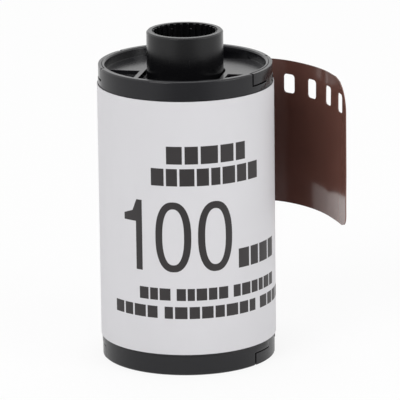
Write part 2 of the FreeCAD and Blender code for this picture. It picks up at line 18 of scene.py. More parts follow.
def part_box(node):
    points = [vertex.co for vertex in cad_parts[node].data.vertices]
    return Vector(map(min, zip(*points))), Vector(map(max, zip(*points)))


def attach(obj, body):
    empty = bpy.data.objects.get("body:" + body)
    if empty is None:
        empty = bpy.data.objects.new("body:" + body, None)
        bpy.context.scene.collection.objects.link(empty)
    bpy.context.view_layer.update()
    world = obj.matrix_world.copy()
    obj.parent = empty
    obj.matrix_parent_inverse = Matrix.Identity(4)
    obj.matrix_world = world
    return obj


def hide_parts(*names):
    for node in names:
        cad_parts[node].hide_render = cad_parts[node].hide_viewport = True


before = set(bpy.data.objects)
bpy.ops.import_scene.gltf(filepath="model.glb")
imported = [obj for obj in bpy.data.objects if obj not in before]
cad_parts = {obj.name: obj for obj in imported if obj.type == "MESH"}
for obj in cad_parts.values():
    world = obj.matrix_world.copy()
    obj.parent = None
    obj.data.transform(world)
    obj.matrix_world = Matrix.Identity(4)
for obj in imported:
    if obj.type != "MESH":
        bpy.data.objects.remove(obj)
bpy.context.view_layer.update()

MM = 0.001
WELD = 0.002 * MM
UP = Vector((0.0, 0.0, 1.0))
OBJECT_MIDDLE = Vector((0.0, 0.0, 21.0 * MM))
# The film leaves the mouth in this direction, from +X towards +Y.
MOUTH_ANGLE = 32.5
# Edges that turn less than this are shaded smooth.
SMOOTH_WITHIN = 40.0
WHITE = (1.0, 1.0, 1.0, 1.0)
LOG = logging.getLogger("film_cartridge")

Colour = tuple[float, float, float]
Range = tuple[float, float]
Outline = list[tuple[float, float]]


class Body(Enum):
    """The moving bodies of the cartridge."""

    CARTRIDGE = "cartridge"
    SPOOL = "spool"
    LEADER = "leader"


class Slot(Enum):
    """The finishes of the cartridge's pieces."""

    CAP = "cap_plastic"
    SHELL = "shell_plastic"
    SPOOL = "spool_plastic"
    LABEL = "label_paper"
    PLUSH = "plush"
    FILM = "film"
    TAPE = "tape"


class NodeCanvas:
    """Adds and links the nodes of one node tree."""

    def __init__(self, tree: bpy.types.NodeTree) -> None:
        """Start an empty canvas on a tree."""
        self.tree = tree
        tree.nodes.clear()

    def add(self, kind: str, inputs: dict[Any, Any] | None = None, **settings: Any) -> bpy.types.Node:
        """Add a node.

        Args:
            kind: Blender's name of the node type.
            inputs: Values or source sockets, by the input's name or index.
            settings: Attributes of the node itself.

        Returns:
            The new node.
        """
        node = self.tree.nodes.new(kind)
        for name, setting in settings.items():
            setattr(node, name, setting)
        for key, given in (inputs or {}).items():
            if isinstance(given, bpy.types.NodeSocket):
                self.tree.links.new(given, node.inputs[key])
            else:
                node.inputs[key].default_value = given
        return node

    def math(self, operation: str, *values: Any) -> bpy.types.NodeSocket:
        """Add a Math node and give its output."""
        return self.add("ShaderNodeMath", dict(enumerate(values)), operation=operation).outputs[0]

    def vector_math(self, operation: str, *values: Any) -> bpy.types.NodeSocket:
        """Add a Vector Math node and give its output, a number or a vector."""
        node = self.add("ShaderNodeVectorMath", dict(enumerate(values)), operation=operation)
        return node.outputs["Value" if operation in ("DOT_PRODUCT", "DISTANCE", "LENGTH") else "Vector"]

    def combine(self, **parts: Any) -> bpy.types.NodeSocket:
        """Make a vector of its parts X, Y and Z."""
        return self.add("ShaderNodeCombineXYZ", parts).outputs[0]

    def split(self, vector: bpy.types.NodeSocket) -> Any:
        """Give the parts X, Y and Z of a vector."""
        return self.add("ShaderNodeSeparateXYZ", {"Vector": vector}).outputs

    def object_place(self) -> bpy.types.NodeSocket:
        """Give the place on the object."""
        return self.add("ShaderNodeTexCoord").outputs["Object"]

    def noise(self, place: bpy.types.NodeSocket, scale: Any, detail: float) -> bpy.types.NodeSocket:
        """Add a noise and give its value."""
        inputs = {"Vector": place, "Scale": scale, "Detail": detail}
        return self.add("ShaderNodeTexNoise", inputs).outputs["Fac"]

    def blend(self, kind: str, share: Any, first: Any, second: Any) -> bpy.types.NodeSocket:
        """Mix two values of one kind, FLOAT or RGBA, by a share."""
        inputs = {"Factor": share, "A": first, "B": second}
        return self.add("ShaderNodeMix", inputs, data_type=kind).outputs["Result"]

    def stretch(self, value: Any, low: float, high: float, to_low: float, to_high: float) -> Any:
        """Map a value smoothly from one range to another, held at both ends.

        Args:
            value: The value or its source socket.
            low: Start of its range.
            high: End of its range.
            to_low: Result up to the start.
            to_high: Result from the end on.

        Returns:
            The output that holds the result.
        """
        inputs = {
            "Value": value, "From Min": low, "From Max": high, "To Min": to_low, "To Max": to_high,
        }
        return self.add("ShaderNodeMapRange", inputs, interpolation_type="SMOOTHSTEP").outputs["Result"]


class NodeGroup(NodeCanvas):
    """A new node group with named sockets."""

    def __init__(self, name: str, kind: str, inputs: dict[str, str], outputs: dict[str, str]) -> None:
        """Start the group.

        Args:
            name: Its name.
            kind: Blender's name of its tree type.
            inputs: Socket types by name, without Blender's NodeSocket in front.
            outputs: The same for what it gives.
        """
        super().__init__(bpy.data.node_groups.new(name, kind))
        for direction, sockets in (("INPUT", inputs), ("OUTPUT", outputs)):
            for socket, socket_kind in sockets.items():
                self.tree.interface.new_socket(
                    socket, in_out=direction, socket_type="NodeSocket" + socket_kind
                )
        self.given = self.add("NodeGroupInput").outputs


class GeometryGroup(NodeGroup):
    """A geometry node group that ends in real geometry with one material."""

    def __init__(self, name: str, inputs: dict[str, str]) -> None:
        """Start the group with its named inputs and its material."""
        kinds = {**inputs, "Material": "Material"}
        super().__init__(name, "GeometryNodeTree", kinds, {"Geometry": "Geometry"})

    def close(self, geometry: bpy.types.NodeSocket) -> None:
        """End the group.

        Args:
            geometry: What it makes, which may be instances.
        """
        real = self.add("GeometryNodeRealizeInstances", {"Geometry": geometry})
        dressed = self.add("GeometryNodeSetMaterial", {
            "Geometry": real.outputs[0], "Material": self.given["Material"],
        })
        self.add("NodeGroupOutput", {"Geometry": dressed.outputs[0]})

    def run(self, name: str, mesh: bpy.types.Mesh, values: dict[str, Any]) -> bpy.types.Mesh:
        """Run the group on a mesh.

        Args:
            name: Name of the new mesh.
            mesh: The mesh that the group starts from.
            values: Its inputs by name.

        Returns:
            The plain mesh that the group makes.
        """
        carrier = add_object(name + "_carrier", mesh)
        modifier = carrier.modifiers.new(self.tree.name, "NODES")
        modifier.node_group = self.tree
        for socket in self.tree.interface.items_tree:
            if socket.in_out == "INPUT" and socket.name in values:
                modifier[socket.identifier] = values[socket.name]
        return evaluated_mesh(carrier, name)


@dataclass(frozen=True)
class HandledSurface:
    """What handling leaves on a surface: mottling, scuffs and specks of dust.

    Each scale is a noise's, and each range is where a mark fades in or out.
    """

    cloud_scale: float = 260.0
    streak_scale: float = 2600.0
    streak_squeeze: tuple[float, float, float] = (1.0, 1.0, 0.12)
    streak_range: Range = (0.62, 0.78)
    speck_scale: float = 620.0
    speck_range: Range = (0.03, 0.075)
    thinning_scale: float = 900.0
    thinning_range: Range = (0.5, 0.62)
    dust_colour: Colour = (0.42, 0.41, 0.4)
    scuff_roughness: float = 0.25
    cloud_roughness: float = 0.06
    scuff_depth: float = 0.5

    def build(self) -> bpy.types.NodeTree:
        """Build the group that all the finishes share, on Object coordinates.

        Returns:
            A group that gives Color, Roughness and a fine Height.
        """
        canvas = NodeGroup("Handled Surface", "ShaderNodeTree", {
            "Color": "Color", "Roughness": "Float", "Mottle": "Float",
            "Scuffs": "Float", "Dust": "Float", "Grain Scale": "Float",
        }, {"Color": "Color", "Roughness": "Float", "Height": "Float"})
        given = canvas.given
        place = canvas.object_place()

        cloud = canvas.noise(place, self.cloud_scale, 3.0)
        shade = canvas.math("MULTIPLY_ADD", cloud, given["Mottle"], 1.0)
        centred = canvas.math("SUBTRACT", shade, canvas.math("MULTIPLY", given["Mottle"], 0.5))
        tinted = canvas.vector_math("MULTIPLY", given["Color"], centred)

        squeezed = canvas.add("ShaderNodeMapping", {"Vector": place, "Scale": self.streak_squeeze})
        streaks = canvas.noise(squeezed.outputs[0], self.streak_scale, 2.0)
        scuff = canvas.stretch(streaks, *self.streak_range, 0.0, 1.0)
        scuff = canvas.math("MULTIPLY", scuff, given["Scuffs"])

        specks = canvas.add("ShaderNodeTexVoronoi", {"Vector": place, "Scale": self.speck_scale})
        speck = canvas.stretch(specks.outputs["Distance"], *self.speck_range, 1.0, 0.0)
        kept = canvas.stretch(
            canvas.noise(place, self.thinning_scale, 0.0), *self.thinning_range, 0.0, 1.0
        )
        speck = canvas.math("MULTIPLY", canvas.math("MULTIPLY", speck, kept), given["Dust"])

        dusty = canvas.blend("RGBA", speck, tinted, (*self.dust_colour, 1.0))
        scuffed = canvas.math("MULTIPLY", scuff, self.scuff_roughness)
        rough = canvas.math("ADD", given["Roughness"], scuffed)
        rough = canvas.math("ADD", rough, canvas.math("MULTIPLY", cloud, self.cloud_roughness))
        grain = canvas.noise(place, given["Grain Scale"], 4.0)
        height = canvas.math("SUBTRACT", grain, canvas.math("MULTIPLY", scuff, self.scuff_depth))
        canvas.add("NodeGroupOutput", {"Color": dusty, "Roughness": rough, "Height": height})
        return canvas.tree


@dataclass(frozen=True)
class Finish:
    """A handled surface with a fine grain, for plastic, paper or film.

    Each field is a setting of the shader or of the shared group.
    """

    name: str
    colour: Colour
    roughness: float
    grain_scale: float = 9000.0
    grain_depth: float = 0.0014 * MM
    mottle: float = 0.15
    scuffs: float = 0.3
    dust: float = 0.3
    ior: float = 1.5
    coat: float = 0.0
    coat_roughness: float = 0.1

    def build(self, group: bpy.types.NodeTree) -> bpy.types.Material:
        """Build the material.

        Args:
            group: The shared group of a handled surface.

        Returns:
            The finished material.
        """
        material = bpy.data.materials.new(self.name)
        material.use_nodes = True
        canvas = NodeCanvas(material.node_tree)
        surface = canvas.add("ShaderNodeGroup", node_tree=group)
        settings = {
            "Color": (*self.colour, 1.0), "Roughness": self.roughness, "Mottle": self.mottle,
            "Scuffs": self.scuffs, "Dust": self.dust, "Grain Scale": self.grain_scale,
        }
        for socket, setting in settings.items():
            surface.inputs[socket].default_value = setting
        colour = self.colour_detail(canvas, surface.outputs["Color"])
        bump = canvas.add(
            "ShaderNodeBump",
            {"Strength": 1.0, "Distance": self.grain_depth, "Height": self.relief(canvas, surface)},
        )
        shader = canvas.add("ShaderNodeBsdfPrincipled", {
            "Base Color": colour, "Roughness": surface.outputs["Roughness"], "IOR": self.ior,
            "Coat Weight": self.coat, "Coat Roughness": self.coat_roughness,
            "Normal": bump.outputs["Normal"],
        })
        canvas.add("ShaderNodeOutputMaterial", {"Surface": shader.outputs["BSDF"]})
        return material

    def colour_detail(self, canvas: NodeCanvas, colour: bpy.types.NodeSocket) -> bpy.types.NodeSocket:
        """Give the colour that reaches the shader. A finish may add its own detail here."""
        return colour

    def relief(self, canvas: NodeCanvas, surface: bpy.types.Node) -> bpy.types.NodeSocket:
        """Give the height that the bump reads. A finish may add its own relief here."""
        return surface.outputs["Height"]


@dataclass(frozen=True)
class FilmFinish(Finish):
    """Film with painted light: its colour is a little lighter towards its perforated edge and its tip,
    standing for the light that falls on and through them.
    """

    # Painted light: a lighter film colour that stands for light on and through the edge and the tip.
    painted_light_colour: Colour = (0.175, 0.080, 0.062)
    edge_from: float = 33.0 * MM
    edge_to: float = 39.5 * MM
    edge_share: float = 0.25
    tip_from: float = 13.0 * MM
    tip_to: float = 24.0 * MM

    def colour_detail(self, canvas: NodeCanvas, colour: bpy.types.NodeSocket) -> bpy.types.NodeSocket:
        """Blend the film's colour into the painted light colour of its edge and tip.

        Args:
            canvas: The material's canvas.
            colour: The colour of the handled surface.

        Returns:
            The blended colour.
        """
        parts = canvas.split(canvas.object_place())
        edge = canvas.stretch(parts["Z"], self.edge_from, self.edge_to, 0.0, self.edge_share)
        tip = canvas.stretch(parts["X"], self.tip_from, self.tip_to, 0.0, 1.0)
        # Painted light: the colour turns lighter towards the upper edge and the tip.
        return canvas.blend("RGBA", canvas.math("MAXIMUM", edge, tip), colour, (*self.painted_light_colour, 1.0))


@dataclass(frozen=True)
class WoundFinish(FilmFinish):
    """Wound film, whose turns show as fine rings on the two ends of the roll."""

    turn_pitch: float = 0.14 * MM

    def relief(self, canvas: NodeCanvas, surface: bpy.types.Node) -> bpy.types.NodeSocket:
        """Add a groove between one turn and the next.

        Args:
            canvas: The material's canvas.
            surface: The node of the handled surface.

        Returns:
            The height of the grooves and the grain.
        """
        flat = canvas.vector_math("MULTIPLY", canvas.object_place(), (1.0, 1.0, 0.0))
        turn = canvas.math("MULTIPLY", canvas.vector_math("LENGTH", flat), 2 * math.pi / self.turn_pitch)
        return canvas.math("ADD", canvas.math("SINE", turn), surface.outputs["Height"])


class Finishes:
    """All the materials, built once."""

    def __init__(self) -> None:
        """Build every material on the shared group."""
        group = HandledSurface().build()
        dark_film = {"colour": (0.090, 0.038, 0.030), "ior": 1.5, "dust": 0.05, "scuffs": 0.2}
        self.cap = Finish("Cap plastic", (0.0078, 0.0078, 0.0100), 0.17).build(group)
        self.shell = Finish("Wall plastic", (0.0075, 0.0075, 0.0095), 0.2).build(group)
        self.spool = Finish("Spool plastic", (0.0050, 0.0050, 0.0058), 0.2, dust=0.5).build(group)
        self.paper = Finish(
            "Label paper", (0.69, 0.683, 0.705), 0.42, grain_scale=2600.0, grain_depth=0.0015 * MM,
            mottle=0.03, scuffs=0.15, dust=0.0,
        ).build(group)
        self.ink = Finish(
            "Label ink", (0.030, 0.026, 0.027), 0.40, grain_scale=4200.0, grain_depth=0.003 * MM,
            mottle=0.35, scuffs=0.2, dust=0.1,
        ).build(group)
        self.film = FilmFinish(
            "Film", roughness=0.12, grain_depth=0.0006 * MM, mottle=0.08, coat=0.15, **dark_film
        ).build(group)
        self.wound = WoundFinish("Wound film", roughness=0.3, grain_depth=0.02 * MM, **dark_film).build(group)
        self.plush = Finish(
            "Plush", (0.006, 0.006, 0.0065), 0.85, grain_depth=0.02 * MM, mottle=0.5, dust=0.2
        ).build(group)
        self.tape = Finish(
            "Tape", (0.52, 0.47, 0.34), 0.3, grain_depth=0.002 * MM, mottle=0.1, coat=0.4
        ).build(group)


def add_object(name: str, data: Any) -> bpy.types.Object:
    """Add an object to the scene.

    Args:
        name: Its name.
        data: Its mesh, curve, lamp or camera.

    Returns:
        The object, at the origin.
    """
    added = bpy.data.objects.new(name, data)
    bpy.context.scene.collection.objects.link(added)
    return added


def link_piece(name: str, mesh: bpy.types.Mesh, material: bpy.types.Material | None) -> bpy.types.Object:
    """Make a mesh an object of the scene, with one material.

    Args:
        name: The piece's name.
        mesh: Its mesh, already in place.
        material: The material, or None where the mesh brings its own.

    Returns:
        The object, at the origin.
    """
    if material is not None:
        mesh.materials.clear()
        mesh.materials.append(material)
    return add_object(name, mesh)


def seat(piece: bpy.types.Object, body: Body, slot: Slot, *nodes: str) -> None:
    """Put a finished piece on its body and report it.

    Args:
        piece: The finished piece.
        body: The body that it moves with.
        slot: The piece's finish. Not used.
        nodes: The construction nodes that it stands for.
    """
    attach(piece, body.value)
    if nodes:
        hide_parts(*nodes)
    faces = len(piece.data.polygons)
    LOG.info("%s: %d faces on %s, for %s", piece.name, faces, body.value, nodes or "nothing")


def evaluated_mesh(piece: bpy.types.Object, name: str) -> bpy.types.Mesh:
    """Turn an object with modifiers into a plain mesh, and remove the object.

    Args:
        piece: The object whose modifiers are ready.
        name: The new mesh's name.

    Returns:
        The plain mesh.
    """
    depsgraph = bpy.context.evaluated_depsgraph_get()
    mesh = bpy.data.meshes.new_from_object(piece.evaluated_get(depsgraph), depsgraph=depsgraph)
    mesh.name = name
    piece.modifiers.clear()
    bpy.data.objects.remove(piece)
    return mesh


def finish_shading(mesh: bpy.types.Mesh) -> None:
    """Shade a mesh smooth, apart from its sharp edges."""
    mesh.shade_smooth()
    mesh.set_sharp_from_angle(angle=math.radians(SMOOTH_WITHIN))


def merged_copy(node: str) -> bmesh.types.BMesh:
    """Copy the mesh of a construction node, with its double vertices merged.

    Args:
        node: The construction node.

    Returns:
        The copy, open to edits.
    """
    shape = bmesh.new()
    shape.from_mesh(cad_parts[node].data)
    bmesh.ops.remove_doubles(shape, verts=shape.verts, dist=WELD)
    return shape


def mesh_of(shape: bmesh.types.BMesh, name: str) -> bpy.types.Mesh:
    """Turn an edited shape into a plain mesh, and free the shape.

    Args:
        shape: The edited shape.
        name: The mesh's name.

    Returns:
        The mesh.
    """
    mesh = bpy.data.meshes.new(name)
    shape.to_mesh(mesh)
    shape.free()
    return mesh


@dataclass
class RoundedCopy:
    """A copy of a construction node with its sharp moulded edges rounded.

    Attributes:
        node: The construction node.
        name: The piece's name.
        edge_radius: How far each edge is rounded back.
        segments: Faces across a rounded edge.
        sharp_from: Edges that turn more than this are rounded.
        flat_within: Neighbouring triangles that turn less than this are one face.
    """

    node: str
    name: str
    edge_radius: float = 0.05 * MM
    segments: int = 2
    sharp_from: float = 24.0
    flat_within: float = 0.5

    def build(self, material: bpy.types.Material) -> bpy.types.Object:
        """Make the rounded piece.

        Args:
            material: Its material.

        Returns:
            The object, at the origin.
        """
        shape = merged_copy(self.node)
        self.fit(shape)
        bmesh.ops.dissolve_limit(
            shape, angle_limit=math.radians(self.flat_within), verts=shape.verts, edges=shape.edges,
        )
        limit = math.radians(self.sharp_from)
        sharp = [edge for edge in shape.edges if edge.calc_face_angle(0.0) > limit]
        bmesh.ops.bevel(
            shape, geom=sharp, offset=self.edge_radius, offset_type="OFFSET", affect="EDGES",
            segments=self.segments, profile=0.5, clamp_overlap=True,
        )
        mesh = mesh_of(shape, self.name)
        finish_shading(mesh)
        piece = add_object(self.name, mesh)
        weighting = piece.modifiers.new("Face weighted normals", "WEIGHTED_NORMAL")
        weighting.weight = 100
        weighting.keep_sharp = True
        return link_piece(self.name, evaluated_mesh(piece, self.name), material)

    def fit(self, shape: bmesh.types.BMesh) -> None:
        """Change the merged copy before its edges are rounded. A plain copy stays as it is."""


@dataclass
class LuggedCopy(RoundedCopy):
    """The shell, whose lugs draw in a little from their slots, so that the joint shows as a line.

    Attributes:
        lug_angle: Direction of one pair of lugs, from +X towards +Y.
        lug_from: Radius beyond which the ends of the shell are lugs.
        lug_length: How much of each end of the shell is lugs alone.
        draw_in: Share by which a lug's half angle shrinks.
        rise: How far a lug's face comes out towards the cap's.
        head_back: How far the shoulders of a lug's head draw back.
        tolerance: How near a vertex lies to a face or a shoulder that it belongs to.
    """

    lug_angle: float = -12.0
    lug_from: float = 11.78 * MM
    lug_length: float = 2.5 * MM
    draw_in: float = 0.034
    rise: float = 0.06 * MM
    head_back: float = 0.07 * MM
    tolerance: float = 0.05 * MM

    def fit(self, shape: bmesh.types.BMesh) -> None:
        """Narrow the lugs about their middles and bring their faces out.

        Args:
            shape: The merged copy of the shell.
        """
        low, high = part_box(self.node)
        middle = (low.z + high.z) / 2
        lugs_from = (high.z - low.z) / 2 - self.lug_length
        lugs = [
            vertex for vertex in shape.verts
            if vertex.co.xy.length > self.lug_from and abs(vertex.co.z - middle) > lugs_from
        ]
        lug_face = max(vertex.co.xy.length for vertex in lugs)
        shoulder = min(abs(vertex.co.z - middle) for vertex in lugs)
        for vertex in lugs:
            radius = vertex.co.xy.length
            height = vertex.co.z
            angle = math.degrees(math.atan2(vertex.co.y, vertex.co.x))
            off = (angle - self.lug_angle + 90.0) % 180.0 - 90.0
            turn = math.radians(angle - off * self.draw_in)
            if radius > lug_face - self.tolerance:
                radius += self.rise
            if abs(height - middle) < shoulder + self.tolerance:
                height += math.copysign(self.head_back, height - middle)
            vertex.co = Vector((radius * math.cos(turn), radius * math.sin(turn), height))


@dataclass
class Label:
    """The printed label, wrapped on the shell, with soft upright creases.

    Attributes:
        crease_angles: Where the creases are, round from the front, positive to the right.
        crease_width: Half the angle that one crease takes.
        crease_depth: How far a crease lies under the smooth surface.
        crease_lean: How far a crease wanders to either side on its way up.
        crease_limit: The most that creases add up to, in depths of one.
        step: Angle between the columns of vertices.
        rows: Rows of faces from its foot to its top.
    """

    crease_angles: tuple[float, ...] = (-63.0, -38.0, -12.0, 21.0, 47.0, 64.0, 130.0, 200.0)
    crease_width: float = 3.2
    crease_depth: float = 0.012 * MM
    crease_lean: float = 2.0
    crease_limit: float = 1.5
    step: float = 1.0
    rows: int = 37
    inner: float = field(init=False)
    outer: float = field(init=False)
    low: float = field(init=False)
    high: float = field(init=False)
    first_angle: float = field(init=False)
    last_angle: float = field(init=False)

    def __post_init__(self) -> None:
        """Read the label's place from its construction node.

        The seam is the widest gap between the angles of its vertices.
        """
        vertices = [vertex.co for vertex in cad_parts["label"].data.vertices]
        radii = [math.hypot(point.x, point.y) for point in vertices]
        self.inner = min(radii)
        self.outer = max(radii)
        low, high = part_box("label")
        self.low = low.z
        self.high = high.z
        angles = sorted({round(self.front_angle(point), 3) for point in vertices})
        gaps = [after - before for before, after in zip(angles, angles[1:])]
        seam = gaps.index(max(gaps))
        self.first_angle = angles[seam + 1] - 360.0
        self.last_angle = angles[seam]

    @staticmethod
    def front_angle(point: Vector) -> float:
        """Give the angle round the axis from the front, positive to the right."""
        return math.degrees(math.atan2(point.x, -point.y)) % 360.0

    def radius(self, angle: float, height: float) -> float:
        """Give the outer radius of the creased label at a place.

        The creases wave and fade each in its own way, by its number.

        Args:
            angle: Round from the front, positive to the right.
            height: Above the lower rim.

        Returns:
            The radius.
        """
        share = (height - self.low) / (self.high - self.low)
        sink = 0.0
        for number, crease in enumerate(self.crease_angles):
            lean = self.crease_lean * math.sin(number * 1.7 + share * 2.4)
            off = (angle - crease - lean + 180.0) % 360.0 - 180.0
            fade = 0.45 + 0.55 * math.sin(share * math.pi + number)
            sink += abs(fade) * math.exp(-((off / self.crease_width) ** 2))
        return self.outer - self.crease_depth * min(sink, self.crease_limit)

    def place(self, angle: float, height: float, lift: float = 0.0) -> Vector:
        """Give the point on the label's face at a place.

        Args:
            angle: Round from the front, positive to the right.
            height: Above the lower rim.
            lift: How far the point lies off the face.

        Returns:
            The point.
        """
        turn = math.radians(angle)
        reach = self.radius(angle, height) + lift
        return Vector((reach * math.sin(turn), -reach * math.cos(turn), height))

    def build_sheet(self, material: bpy.types.Material) -> bpy.types.Object:
        """Make the label itself, as a closed sheet.

        Args:
            material: The paper.

        Returns:
            The label's object.
        """
        span = self.last_angle - self.first_angle
        count = round(span / self.step)
        angles = [self.first_angle + span * i / count for i in range(count + 1)]
        heights = [self.low + (self.high - self.low) * j / self.rows for j in range(self.rows + 1)]
        shape = bmesh.new()
        grid = [[shape.verts.new(self.place(angle, height)) for height in heights] for angle in angles]
        back = []
        for angle in angles:
            turn = math.radians(angle)
            foot = Vector((self.inner * math.sin(turn), -self.inner * math.cos(turn), 0.0))
            back.append([shape.verts.new(foot + UP * height) for height in heights])
        for i in range(count):
            for j in range(self.rows):
                shape.faces.new((grid[i][j], grid[i + 1][j], grid[i + 1][j + 1], grid[i][j + 1]))
                shape.faces.new((back[i][j + 1], back[i + 1][j + 1], back[i + 1][j], back[i][j]))
            shape.faces.new((back[i][0], back[i + 1][0], grid[i + 1][0], grid[i][0]))
            shape.faces.new((grid[i][-1], grid[i + 1][-1], back[i + 1][-1], back[i][-1]))
        for j in range(self.rows):
            shape.faces.new((grid[0][j], grid[0][j + 1], back[0][j + 1], back[0][j]))
            shape.faces.new((back[-1][j], back[-1][j + 1], grid[-1][j + 1], grid[-1][j]))
        mesh = mesh_of(shape, "label_sheet")
        finish_shading(mesh)
        return link_piece("label_sheet", mesh, material)


@dataclass(frozen=True)
class PrintLine:
    """One line of print, as plain blocks in groups.

    Attributes:
        first: Angle of its left end, from the front.
        last: Angle of its right end.
        low: Height of its foot.
        high: Height of its top.
        groups: How many blocks each group holds.
        gap: Space between blocks, as a share of a block's width.
        space: The same between groups.
        widths: The blocks' widths in turn, as shares of a plain one.
    """

    first: float
    last: float
    low: float
    high: float
    groups: tuple[int, ...]
    gap: float = 0.17
    space: float = 0.62
    widths: tuple[float, ...] = (1.0, 0.84, 1.12, 0.92, 0.72, 1.06, 0.88)

    def blocks(self) -> list[tuple[float, float]]:
        """Lay out the blocks in their groups.

        Returns:
            The first and last angle of each block.
        """
        count = sum(self.groups)
        sizes = [self.widths[number % len(self.widths)] for number in range(count)]
        breaks = len(self.groups) - 1
        units = sum(sizes) + self.gap * (count - 1 - breaks) + self.space * breaks
        unit = (self.last - self.first) / units
        ends = {sum(self.groups[:number + 1]) for number in range(len(self.groups))}
        spans = []
        at = self.first
        for number, size in enumerate(sizes, start=1):
            spans.append((at, at + unit * size))
            at += unit * (size + (self.space if number in ends else self.gap))
        return spans


@dataclass
class LabelPrint:
    """The ink on the label: a plain figure and lines of blocks.

    Attributes:
        label: The label that carries it.
        clear: How far the ink's back lies off the paper, so that their faces don't coincide.
        thickness: Of the ink.
        cut_step: Angle between the cuts that let it bend.
        row_step: Height between the cuts, in millimetres.
        roundness: Power of the noughts' superellipse.
        one_slant: Angles from the stem's left side to the corner at its top and to the flag's throat.
        one_heights: The flag's shoulder under the top, the throat and the flag's end above the
            shoulder, and the flag's foot under it.
    """

    label: Label
    clear: float = 0.0005 * MM
    thickness: float = 0.004 * MM
    cut_step: float = 1.5
    row_step: float = 1.0
    figure_low: float = 15.15 * MM
    figure_high: float = 25.3 * MM
    stroke: float = 1.02 * MM
    roundness: float = 2.35
    zero_points: int = 64
    zero_spans: tuple[tuple[float, float], ...] = ((-20.9, 2.6), (6.9, 30.2))
    one_stem: Range = (-35.0, -30.3)
    one_flag: float = -44.5
    one_slant: Range = (0.6, 2.6)
    one_heights: tuple[float, ...] = (2.55 * MM, 0.9 * MM, 0.35 * MM, 0.62 * MM)
    lines: tuple[PrintLine, ...] = (
        PrintLine(-13.0, 41.0, 30.75 * MM, 33.3 * MM, (5,)),
        PrintLine(-23.4, 52.1, 27.6 * MM, 30.1 * MM, (8,)),
        PrintLine(35.1, 73.0, 15.1 * MM, 17.9 * MM, (4,)),
        PrintLine(-32.8, 72.4, 11.0 * MM, 12.75 * MM, (3, 5, 6)),
        PrintLine(-53.8, 112.0, 8.35 * MM, 10.1 * MM, (4, 8, 7)),
    )

    def zero(self, first: float, last: float) -> tuple[Outline, Outline]:
        """Draw a nought as two superellipses.

        Args:
            first: Angle of its left side.
            last: Angle of its right side.

        Returns:
            Its outer and its inner outline, as angles and heights.
        """
        middle = (first + last) / 2
        rise = (self.figure_low + self.figure_high) / 2
        per_degree = self.label.outer * math.pi / 180.0
        half_width = (last - first) / 2
        half_height = (self.figure_high - self.figure_low) / 2
        power = 2 / self.roundness
        loops = []
        for inset in (0.0, self.stroke):
            wide = half_width - inset / per_degree
            tall = half_height - inset
            loop = []
            for number in range(self.zero_points):
                turn = 2 * math.pi * number / self.zero_points
                cosine, sine = math.cos(turn), math.sin(turn)
                across = math.copysign(abs(cosine) ** power, cosine)
                along = math.copysign(abs(sine) ** power, sine)
                loop.append((middle + wide * across, rise + tall * along))
            loops.append(loop)
        return loops[0], loops[1]

    def one(self) -> Outline:
        """Draw a plain one.

        Returns:
            Its outline, as angles and heights.
        """
        left, right = self.one_stem
        corner, throat = self.one_slant
        drop, throat_rise, flag_rise, foot = self.one_heights
        top = self.figure_high
        shoulder = top - drop
        return [
            (left, self.figure_low), (right, self.figure_low), (right, top), (left + corner, top),
            (left - throat, shoulder + throat_rise), (self.one_flag, shoulder + flag_rise),
            (self.one_flag, shoulder - foot), (left, shoulder - foot),
        ]

    def draw(self, shape: bmesh.types.BMesh) -> None:
        """Draw every outline flat, with angles as X and millimetres of height as Y.

        Args:
            shape: The mesh that takes the faces.
        """
        for first, last in self.zero_spans:
            rings = [
                [shape.verts.new((angle, height / MM, 0.0)) for angle, height in loop]
                for loop in self.zero(first, last)
            ]
            for pair in zip(*rings, *(ring[1:] + ring[:1] for ring in rings)):
                outer, inner, outer_next, inner_next = pair
                shape.faces.new((outer, outer_next, inner_next, inner))
        outlines = [self.one()]
        for line in self.lines:
            for first, last in line.blocks():
                outlines.append([
                    (first, line.low), (last, line.low), (last, line.high), (first, line.high),
                ])
        for corners in outlines:
            shape.faces.new([shape.verts.new((angle, height / MM, 0.0)) for angle, height in corners])

    def cut(self, shape: bmesh.types.BMesh) -> None:
        """Cut the flat print into narrow cells, so that it can bend with the label.

        Args:
            shape: The flat print.
        """
        across, up = Vector((1.0, 0.0, 0.0)), Vector((0.0, 1.0, 0.0))
        for axis, step in ((across, self.cut_step), (up, self.row_step)):
            reach = [vertex.co.dot(axis) for vertex in shape.verts]
            place = math.floor(min(reach)) + step
            while place < max(reach):
                geometry = shape.verts[:] + shape.edges[:] + shape.faces[:]
                bmesh.ops.bisect_plane(
                    shape, geom=geometry, dist=1e-6, plane_co=axis * place, plane_no=axis
                )
                place += step

    def wrap(self, shape: bmesh.types.BMesh) -> None:
        """Lay the flat print on the label, facing outwards.

        Args:
            shape: The flat print, cut into cells.
        """
        for vertex in shape.verts:
            vertex.co = self.label.place(vertex.co.x, vertex.co.y * MM, self.clear)
        for face in shape.faces:
            face.normal_update()
            if face.normal.xy.dot(face.calc_center_median().xy) < 0.0:
                face.normal_flip()

    def build(self, material: bpy.types.Material) -> bpy.types.Object:
        """Make the ink, as thin closed shapes that follow the label.

        Args:
            material: The ink.

        Returns:
            The print's object.
        """
        shape = bmesh.new()
        self.draw(shape)
        self.cut(shape)
        self.wrap(shape)
        raised = bmesh.ops.extrude_face_region(shape, geom=shape.faces[:], use_keep_orig=True)
        for vertex in raised["geom"]:
            if isinstance(vertex, bmesh.types.BMVert):
                vertex.co += Vector((*vertex.co.xy, 0.0)).normalized() * self.thickness
        bmesh.ops.recalc_face_normals(shape, faces=shape.faces)
        return link_piece("label_print", mesh_of(shape, "label_print"), material)


STRIP_FIELDS = (
    "thickness", "hole_pitch", "hole_length", "hole_height", "hole_round", "hole_edge",
    "first_hole", "high_corner", "low_corner", "ripple",
)
STRIP_PLACES = ("length", "width", "foot", "ripple_start")


def titled(name: str) -> str:
    """Turn a field's name into a socket's."""
    return name.replace("_", " ").title()


